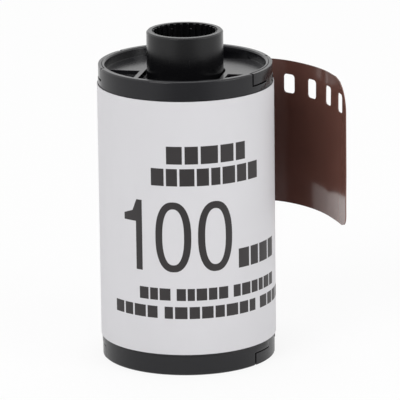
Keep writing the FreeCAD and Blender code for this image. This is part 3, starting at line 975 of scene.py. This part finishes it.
class FilmStripTree(GeometryGroup):
    """The node tree that cuts, perforates and bends the strip, with its sizes as inputs."""

    columns: int = 141
    rows: int = 61
    corner_points: int = 6
    ripple_scale: float = 115.0
    ripple_fade: float = 8.0 * MM

    def __init__(self) -> None:
        """Build the tree."""
        sizes = {titled(name): "Float" for name in STRIP_FIELDS + STRIP_PLACES}
        super().__init__("Film Strip", {"Path": "Object", **sizes})
        cut = self.add(
            "GeometryNodeMeshBoolean", {"Mesh 1": self.flat_strip(), "Mesh 2": self.punches()},
            operation="DIFFERENCE", solver="EXACT",
        )
        self.close(self.bend(cut.outputs["Mesh"]))

    def flat_strip(self) -> bpy.types.NodeSocket:
        """Make the flat strip with its two rounded corners, before it is perforated.

        Returns:
            The output that holds the strip.
        """
        length, width, depth, corner = (
            self.given[name] for name in ("Length", "Width", "Thickness", "High Corner")
        )
        grid = self.add("GeometryNodeMeshGrid", {
            "Size X": length, "Size Y": width, "Vertices X": self.columns, "Vertices Y": self.rows,
        })
        half = self.combine(
            X=self.math("MULTIPLY", length, 0.5), Y=self.math("MULTIPLY", width, 0.5),
            Z=self.math("MULTIPLY", depth, -0.5),
        )
        flat = self.add("GeometryNodeTransform", {"Geometry": grid.outputs["Mesh"], "Translation": half})
        spot = self.split(self.add("GeometryNodeInputPosition").outputs[0])
        inset = self.math(
            "ADD", self.corner_inset(self.math("SUBTRACT", width, spot["Y"]), corner),
            self.corner_inset(spot["Y"], self.given["Low Corner"]),
        )
        past = self.math("SUBTRACT", spot["X"], self.math("SUBTRACT", length, corner))
        share = self.math("MAXIMUM", self.math("DIVIDE", past, corner), 0.0)
        back = self.math("MULTIPLY", self.math("MULTIPLY", inset, share), -1.0)
        trimmed = self.add("GeometryNodeSetPosition", {
            "Geometry": flat.outputs[0], "Offset": self.combine(X=back),
        })
        return self.thicken(trimmed.outputs[0], depth)

    def punches(self) -> bpy.types.NodeSocket:
        """Make the row of punches for the perforations, counted back from the tip.

        Returns:
            The output that holds the punches.
        """
        given = self.given
        outline = self.add("GeometryNodeCurvePrimitiveQuadrilateral", {
            "Width": given["Hole Length"], "Height": given["Hole Height"],
        })
        rounded = self.add("GeometryNodeFilletCurve", {
            "Curve": outline.outputs[0], "Radius": given["Hole Round"], "Count": self.corner_points,
        }, mode="POLY")
        filled = self.add("GeometryNodeFillCurve", {"Curve": rounded.outputs[0]}, mode="NGONS")
        depth = self.math("MULTIPLY", given["Thickness"], 4.0)
        reach = self.math("SUBTRACT", given["Length"], given["First Hole"])
        count = self.math("FLOOR", self.math("DIVIDE", reach, given["Hole Pitch"]))
        level = self.math("SUBTRACT", given["Width"], given["Hole Edge"])
        level = self.math("SUBTRACT", level, self.math("MULTIPLY", given["Hole Height"], 0.5))
        row = self.add("GeometryNodeMeshLine", {
            "Count": self.math("ADD", count, 1.0),
            "Start Location": self.combine(X=reach, Y=level, Z=self.math("MULTIPLY", depth, -0.5)),
            "Offset": self.combine(X=self.math("MULTIPLY", given["Hole Pitch"], -1.0)),
        })
        punches = self.add("GeometryNodeInstanceOnPoints", {
            "Points": row.outputs[0], "Instance": self.thicken(filled.outputs[0], depth),
        })
        return self.add("GeometryNodeRealizeInstances", {"Geometry": punches.outputs[0]}).outputs[0]

    def corner_inset(self, distance: Any, radius: Any) -> bpy.types.NodeSocket:
        """Work out how far a rounded corner cuts back.

        Args:
            distance: Distance from the edge beside the corner.
            radius: The corner's radius.

        Returns:
            The output that holds the cut.
        """
        past = self.math("MAXIMUM", self.math("SUBTRACT", radius, distance), 0.0)
        squares = [self.math("MULTIPLY", side, side) for side in (radius, past)]
        return self.math("SUBTRACT", radius, self.math("SQRT", self.math("SUBTRACT", *squares)))

    def thicken(self, sheet: Any, depth: Any) -> bpy.types.NodeSocket:
        """Make a closed plate that rises from a flat sheet, which stays its underside.

        Args:
            sheet: The flat sheet.
            depth: The plate's thickness.

        Returns:
            The output that holds the plate.
        """
        raised = self.add("GeometryNodeExtrudeMesh", {
            "Mesh": sheet, "Offset": tuple(UP), "Offset Scale": depth, "Individual": False,
        }, mode="FACES")
        under = self.add("GeometryNodeFlipFaces", {"Mesh": sheet})
        both = self.add("GeometryNodeJoinGeometry")
        self.tree.links.new(under.outputs[0], both.inputs[0])
        self.tree.links.new(raised.outputs["Mesh"], both.inputs[0])
        welded = self.add("GeometryNodeMergeByDistance", {
            "Geometry": both.outputs[0], "Distance": WELD / 4,
        })
        return welded.outputs[0]

    def bend(self, strip: bpy.types.NodeSocket) -> bpy.types.NodeSocket:
        """Lay the flat strip along the path, with a slight ripple beyond the mouth.

        Args:
            strip: The flat, perforated strip.

        Returns:
            The output that holds the bent strip.
        """
        given = self.given
        spot = self.split(self.add("GeometryNodeInputPosition").outputs[0])
        path = self.add("GeometryNodeObjectInfo", {"Object": given["Path"]})
        sample = self.add("GeometryNodeSampleCurve", {
            "Curves": path.outputs["Geometry"], "Length": spot["X"],
        }, mode="LENGTH").outputs
        side = self.vector_math("CROSS_PRODUCT", sample["Tangent"], tuple(UP))
        side = self.vector_math("NORMALIZE", side)
        swell = self.noise(self.combine(X=spot["X"], Y=spot["Y"]), self.ripple_scale, 0.0)
        swell = self.math("SUBTRACT", swell, 0.5)
        beyond = self.math("SUBTRACT", spot["X"], given["Ripple Start"])
        fade = self.stretch(beyond, 0.0, self.ripple_fade, 0.0, 1.0)
        swell = self.math("MULTIPLY", self.math("MULTIPLY", swell, fade), given["Ripple"])
        offset = self.math("ADD", spot["Z"], swell)
        across = self.add("ShaderNodeVectorMath", {0: side, "Scale": offset}, operation="SCALE").outputs[0]
        height = self.combine(Z=self.math("ADD", spot["Y"], given["Foot"]))
        place = self.vector_math("ADD", self.vector_math("ADD", sample["Position"], across), height)
        return self.add("GeometryNodeSetPosition", {"Geometry": strip, "Position": place}).outputs[0]


@dataclass
class FilmLeader:
    """The curled end of the film, with its row of perforations.

    Attributes:
        plane_offset: The film's middle, off the axis at the mouth.
        inner_end: Its inner end, along the film from the axis.
        straight: Length before the first bend.
        bends: Radius and angle of each bend, all to the right.
        hole_round: Radius of a perforation's corners.
        hole_edge: From the film's edge to a perforation.
        first_hole: From the tip to the middle of the first perforation.
        high_corner: Radius of the tip's upper corner.
        low_corner: Radius of its lower corner.
        ripple: Height of the ripple, from the lowest to the highest.
    """

    plane_offset: float = 10.97 * MM
    inner_end: float = -1.5 * MM
    straight: float = 13.5 * MM
    bends: tuple[Range, ...] = ((9.25 * MM, 72.4), (17.8 * MM, 30.1), (80.5 * MM, 5.2))
    thickness: float = 0.14 * MM
    hole_pitch: float = 4.75 * MM
    hole_length: float = 1.98 * MM
    hole_height: float = 2.79 * MM
    hole_round: float = 0.5 * MM
    hole_edge: float = 2.01 * MM
    first_hole: float = 2.55 * MM
    high_corner: float = 4.5 * MM
    low_corner: float = 2.0 * MM
    ripple: float = 0.28 * MM

    def path(self) -> bpy.types.Object:
        """Draw the film's middle line, seen from above, as tangent arcs.

        Returns:
            A curve object, wanted only while the strip is bent.
        """
        heading = math.radians(MOUTH_ANGLE)
        along = Vector((math.cos(heading), math.sin(heading), 0.0))
        place = along * self.inner_end + UP.cross(along) * self.plane_offset
        points = [(place, along, 0.0, 0.0)]
        place = place + along * self.straight
        handle = 0.0
        for radius, angle in self.bends:
            turn = math.radians(angle)
            following = radius * 4 / 3 * math.tan(turn / 4)
            points.append((place, along, handle, following))
            heading -= turn
            onward = Vector((math.cos(heading), math.sin(heading), 0.0))
            place = place + (along - onward).cross(UP) * radius
            along = onward
            handle = following
        points.append((place, along, handle, 0.0))
        curve = bpy.data.curves.new("leader_path", "CURVE")
        curve.dimensions = "3D"
        spline = curve.splines.new("BEZIER")
        spline.bezier_points.add(len(points) - 1)
        spline.resolution_u = 96
        for node, (spot, direction, before, after) in zip(spline.bezier_points, points):
            node.handle_left_type = "FREE"
            node.handle_right_type = "FREE"
            node.co = spot
            node.handle_left = spot - direction * before
            node.handle_right = spot + direction * after
        return add_object("leader_path", curve)

    def build(self, material: bpy.types.Material) -> bpy.types.Object:
        """Make the leader.

        Args:
            material: The film.

        Returns:
            The leader's object.
        """
        low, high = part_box("film_leader")
        length = self.straight + sum(radius * math.radians(angle) for radius, angle in self.bends)
        path = self.path()
        values = {titled(name): getattr(self, name) for name in STRIP_FIELDS}
        values |= {
            "Path": path, "Length": length, "Width": high.z - low.z, "Foot": low.z,
            "Ripple Start": self.straight, "Material": material,
        }
        mesh = FilmStripTree().run("film_leader_strip", bpy.data.meshes.new("strip_seed"), values)
        bpy.data.objects.remove(path)
        finish_shading(mesh)
        return link_piece("film_leader_strip", mesh, None)


class PileTree(GeometryGroup):
    """The node tree that grows a pile on the face that meets the film."""

    facing_from: float = 0.9
    shortest_fibre: float = 0.65

    def __init__(self) -> None:
        """Build the tree, with the pile's sizes as its inputs."""
        super().__init__("Pile", {
            "Backing": "Geometry", "Pile Direction": "Vector", "Density": "Float",
            "Height": "Float", "Fibre Radius": "Float", "Tilt": "Float", "Seed": "Int",
        })
        given = self.given
        normal = self.add("GeometryNodeInputNormal").outputs[0]
        facing = self.vector_math("DOT_PRODUCT", normal, given["Pile Direction"])
        points = self.add("GeometryNodeDistributePointsOnFaces", {
            "Mesh": given["Backing"], "Density": given["Density"], "Seed": given["Seed"],
            "Selection": self.math("GREATER_THAN", facing, self.facing_from),
        }, distribute_method="RANDOM").outputs
        fibre = self.add("GeometryNodeMeshCone", {
            "Vertices": 4, "Radius Top": 0.0, "Radius Bottom": given["Fibre Radius"],
            "Depth": given["Height"],
        }, fill_type="TRIANGLE_FAN")
        back = self.math("MULTIPLY", given["Tilt"], -1.0)
        lean = self.add("FunctionNodeRandomValue", {
            "Min": self.combine(X=back, Y=back),
            "Max": self.combine(X=given["Tilt"], Y=given["Tilt"], Z=2 * math.pi),
            "Seed": given["Seed"],
        }, data_type="FLOAT_VECTOR")
        turned = self.add("FunctionNodeRotateEuler", {
            "Rotation": points["Rotation"], "Rotate By": lean.outputs["Value"],
        }, space="LOCAL")
        length = self.add("FunctionNodeRandomValue", {
            2: self.shortest_fibre, 3: 1.0, "Seed": self.math("ADD", given["Seed"], 1.0),
        }, data_type="FLOAT")
        fibres = self.add("GeometryNodeInstanceOnPoints", {
            "Points": points["Points"], "Instance": fibre.outputs["Mesh"],
            "Rotation": turned.outputs[0],
            "Scale": self.combine(X=1.0, Y=1.0, Z=length.outputs[1]),
        })
        both = self.add("GeometryNodeJoinGeometry")
        self.tree.links.new(fibres.outputs[0], both.inputs[0])
        self.tree.links.new(given["Backing"], both.inputs[0])
        self.close(both.outputs[0])


@dataclass
class LightTrap:
    """The two plush pads in the mouth, each a backing with a pile.

    Attributes:
        pile_height: Length of the pile above its backing.
        fibre_radius: Of a fibre at its foot.
        density: Fibres per square metre.
        tilt: The most that a fibre leans, in radians.
        seed: Of the fibres' places.
    """

    pile_height: float = 0.28 * MM
    fibre_radius: float = 0.035 * MM
    density: float = 13.0 / MM**2
    tilt: float = 0.35
    seed: int = 7

    def backing(self, node: str, direction: Vector) -> bpy.types.Mesh:
        """Copy a pad and lower the face that meets the film, to leave room for the pile.

        Args:
            node: The pad's construction node.
            direction: The way its pile stands.

        Returns:
            The backing's mesh.
        """
        shape = merged_copy(node)
        face_level = max(vertex.co.dot(direction) for vertex in shape.verts)
        for vertex in shape.verts:
            if vertex.co.dot(direction) > face_level - WELD:
                vertex.co -= direction * self.pile_height
        return mesh_of(shape, node + "_backing")

    def build(self, material: bpy.types.Material) -> None:
        """Make both pads and seat them.

        Args:
            material: The plush.
        """
        tree = PileTree()
        turn = math.radians(MOUTH_ANGLE)
        outward = Vector((-math.sin(turn), math.cos(turn), 0.0))
        for node, direction in (("plush_inner", outward), ("plush_outer", -outward)):
            values = {
                "Pile Direction": direction, "Density": self.density, "Height": self.pile_height,
                "Fibre Radius": self.fibre_radius, "Tilt": self.tilt, "Seed": self.seed,
                "Material": material,
            }
            mesh = tree.run(node + "_pile", self.backing(node, direction), values)
            piece = link_piece(node + "_pile", mesh, material)
            seat(piece, Body.CARTRIDGE, Slot.PLUSH, node)


@dataclass
class Casing:
    """The shell, its two end caps and the printed label."""

    cap_edge: float = 0.05 * MM
    shell_edge: float = 0.04 * MM

    def build(self, finishes: Finishes) -> None:
        """Make and seat the pieces of the casing.

        Args:
            finishes: All the materials.
        """
        for node in ("top_cap", "bottom_cap"):
            cap = RoundedCopy(node, node + "_moulding", self.cap_edge).build(finishes.cap)
            seat(cap, Body.CARTRIDGE, Slot.CAP, node)
        shell = LuggedCopy("shell", "wall_moulding", self.shell_edge).build(finishes.shell)
        seat(shell, Body.CARTRIDGE, Slot.SHELL, "shell")
        label = Label()
        seat(label.build_sheet(finishes.paper), Body.CARTRIDGE, Slot.LABEL, "label")
        seat(LabelPrint(label).build(finishes.ink), Body.CARTRIDGE, Slot.LABEL)


@dataclass
class SpoolAndFilm:
    """The spool with the wound film and its tape, and the leader."""

    spool_edge: float = 0.05 * MM

    def build(self, finishes: Finishes) -> None:
        """Make and seat the spool and the leader, and dress the wound film and the tape.

        Args:
            finishes: All the materials.
        """
        spool = RoundedCopy("spool", "spool_moulding", self.spool_edge).build(finishes.spool)
        seat(spool, Body.SPOOL, Slot.SPOOL, "spool")
        for node, material in (("film_roll", finishes.wound), ("tail_tape", finishes.tape)):
            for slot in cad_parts[node].material_slots:
                slot.material = material
            LOG.info("%s: the construction node, in %s", node, material.name)
        leader = FilmLeader().build(finishes.film)
        seat(leader, Body.LEADER, Slot.FILM, "film_leader")


@dataclass(frozen=True)
class ProductCamera:
    """The camera at the photograph's viewing angle.

    Attributes:
        elevation: Its height above the horizon, seen from the object.
        distance: From the object's middle.
        lens: Focal length on a sensor of 36 mm.
        roll: Turn about its own axis.
        offset: Shift of the whole camera, to its right and up.
    """

    elevation: float = 15.063
    distance: float = 640.0 * MM
    lens: float = 404.9
    roll: float = -0.746
    offset: Range = (1.83 * MM, 1.257 * MM)

    def build(self) -> None:
        """Make the camera and set it as the scene's own.

        It is turned about its own axis first, and then moved to its own right and up.
        """
        data = bpy.data.cameras.new("product_camera")
        data.lens = self.lens
        data.sensor_width = 36.0
        data.clip_start = 0.01
        camera = add_object("product_camera", data)
        rise = math.radians(self.elevation)
        back = Vector((0.0, -math.cos(rise), math.sin(rise)))
        turn = back.to_track_quat("Z", "Y").to_matrix().to_4x4()
        rolled = turn @ Matrix.Rotation(math.radians(self.roll), 4, "Z")
        right = rolled.col[0].to_3d()
        above = rolled.col[1].to_3d()
        place = OBJECT_MIDDLE + back * self.distance + right * self.offset[0] + above * self.offset[1]
        rolled.translation = place
        camera.matrix_world = rolled
        bpy.context.scene.camera = camera


@dataclass(frozen=True)
class SoftLight:
    """One large soft lamp."""

    name: str
    place: tuple[float, float, float]
    size: float
    power: float
    colour: Colour = (1.0, 1.0, 1.0)

    def build(self) -> None:
        """Hang the lamp and point it at the object's middle."""
        data = bpy.data.lights.new(self.name, "AREA")
        data.shape = "DISK"
        data.size = self.size
        data.energy = self.power
        data.color = self.colour
        lamp = add_object(self.name, data)
        lamp.location = self.place
        lamp.rotation_euler = (Vector(self.place) - OBJECT_MIDDLE).to_track_quat("Z", "Y").to_euler()


@dataclass(frozen=True)
class Studio:
    """A plain white floor under plain soft light.

    What gloss sees is dim towards the camera and white behind the object, in the surroundings and
    on the floor, so that the dark plastic stays dark.

    Attributes:
        ambient: Strength of the surroundings as a light.
        floor_size: Side of the floor.
        floor_grey: The floor's own grey, which takes the shadow.
        floor_glow: Share of plain white in what is seen of the floor.
        camera_side: What gloss sees towards the camera.
        flank: What gloss sees of the floor beside the object.
        camera_foot: The middle of the floor's dim zone.
        dim_zone: Distances from there at which it starts to fade, and ends.
        white_zone: How far behind the object's diagonals the floor starts to whiten, and is white.
        world_zone: The same for the surroundings, as cosines from straight behind.
    """

    ambient: float = 0.55
    floor_size: float = 3.0
    floor_grey: float = 0.9
    floor_glow: float = 0.87
    camera_side: float = 0.22
    flank: float = 0.72
    camera_foot: tuple[float, float, float] = (0.01, -0.20, 0.0)
    dim_zone: Range = (0.05, 0.17)
    white_zone: Range = (-0.01, 0.05)
    world_zone: Range = (-0.85, -0.15)
    lamps: tuple[SoftLight, ...] = (
        SoftLight("key_light", (-0.55, -0.75, 0.75), 0.55, 4.3),
        SoftLight("fill_light", (0.85, -0.45, 0.45), 0.60, 2.6),
        SoftLight("top_light", (0.0, 0.25, 1.0), 0.7, 2.4),
    )

    @staticmethod
    def seen_directly(canvas: NodeCanvas) -> bpy.types.NodeSocket:
        """Tell rays from the camera, from gloss and through glass from others.

        Args:
            canvas: The canvas of the material or the world.

        Returns:
            The output that is 1 for such rays and 0 for others.
        """
        path = canvas.add("ShaderNodeLightPath").outputs
        seen = canvas.math("MAXIMUM", path["Is Camera Ray"], path["Is Glossy Ray"])
        return canvas.math("MAXIMUM", seen, path["Is Transmission Ray"])

    @staticmethod
    def for_gloss(canvas: NodeCanvas, level: bpy.types.NodeSocket) -> bpy.types.NodeSocket:
        """Give plain 1, or a level for rays from gloss."""
        return canvas.blend("FLOAT", canvas.add("ShaderNodeLightPath").outputs["Is Glossy Ray"], 1.0, level)

    def build_world(self) -> None:
        """Make the surroundings: white to look at, softer as a light, and dim behind the camera."""
        world = bpy.data.worlds.new("studio_world")
        world.use_nodes = True
        canvas = NodeCanvas(world.node_tree)
        direction = canvas.add("ShaderNodeTexCoord").outputs["Generated"]
        forward = canvas.vector_math("DOT_PRODUCT", direction, (0.0, 1.0, 0.0))
        level = canvas.stretch(forward, *self.world_zone, self.camera_side, 1.0)
        seen = self.for_gloss(canvas, level)
        strength = canvas.blend("FLOAT", self.seen_directly(canvas), self.ambient, seen)
        white = canvas.add("ShaderNodeBackground", {"Color": WHITE, "Strength": strength})
        canvas.add("ShaderNodeOutputWorld", {"Surface": white.outputs[0]})
        bpy.context.scene.world = world

    def build_floor(self) -> None:
        """Make the floor, white to look at apart from the object's shadow."""
        half = self.floor_size / 2
        mesh = bpy.data.meshes.new("studio_floor")
        corners = [(-half, -half, 0.0), (half, -half, 0.0), (half, half, 0.0), (-half, half, 0.0)]
        mesh.from_pydata(corners, [], [(0, 1, 2, 3)])
        material = bpy.data.materials.new("Studio floor")
        material.use_nodes = True
        canvas = NodeCanvas(material.node_tree)
        grey = (self.floor_grey, self.floor_grey, self.floor_grey, 1.0)
        matt = canvas.add("ShaderNodeBsdfDiffuse", {"Color": grey})
        place = canvas.object_place()
        distance = canvas.vector_math("DISTANCE", place, self.camera_foot)
        front = canvas.stretch(distance, *self.dim_zone, self.camera_side, self.flank)
        parts = canvas.split(place)
        past = canvas.math("SUBTRACT", parts["Y"], canvas.math("ABSOLUTE", parts["X"]))
        behind = canvas.stretch(past, *self.white_zone, 0.0, 1.0)
        level = canvas.math("MAXIMUM", front, behind)
        glow = canvas.add("ShaderNodeEmission", {
            "Color": WHITE, "Strength": self.for_gloss(canvas, level),
        })
        share = canvas.math("MULTIPLY", self.seen_directly(canvas), self.floor_glow)
        both = canvas.add("ShaderNodeMixShader", {0: share, 1: matt.outputs[0], 2: glow.outputs[0]})
        canvas.add("ShaderNodeOutputMaterial", {"Surface": both.outputs[0]})
        link_piece("studio_floor", mesh, material)

    def build(self) -> None:
        """Set up the floor, the surroundings and the lamps."""
        self.build_world()
        self.build_floor()
        for lamp in self.lamps:
            lamp.build()


def main() -> None:
    """Build the whole scene in order and report each piece."""
    logging.basicConfig(level=logging.INFO, format="%(name)s: %(message)s")
    bpy.context.scene.view_settings.view_transform = "Standard"
    ProductCamera().build()
    Studio().build()
    finishes = Finishes()
    Casing().build(finishes)
    LightTrap().build(finishes.plush)
    SpoolAndFilm().build(finishes)


if __name__ == "__main__":
    main()
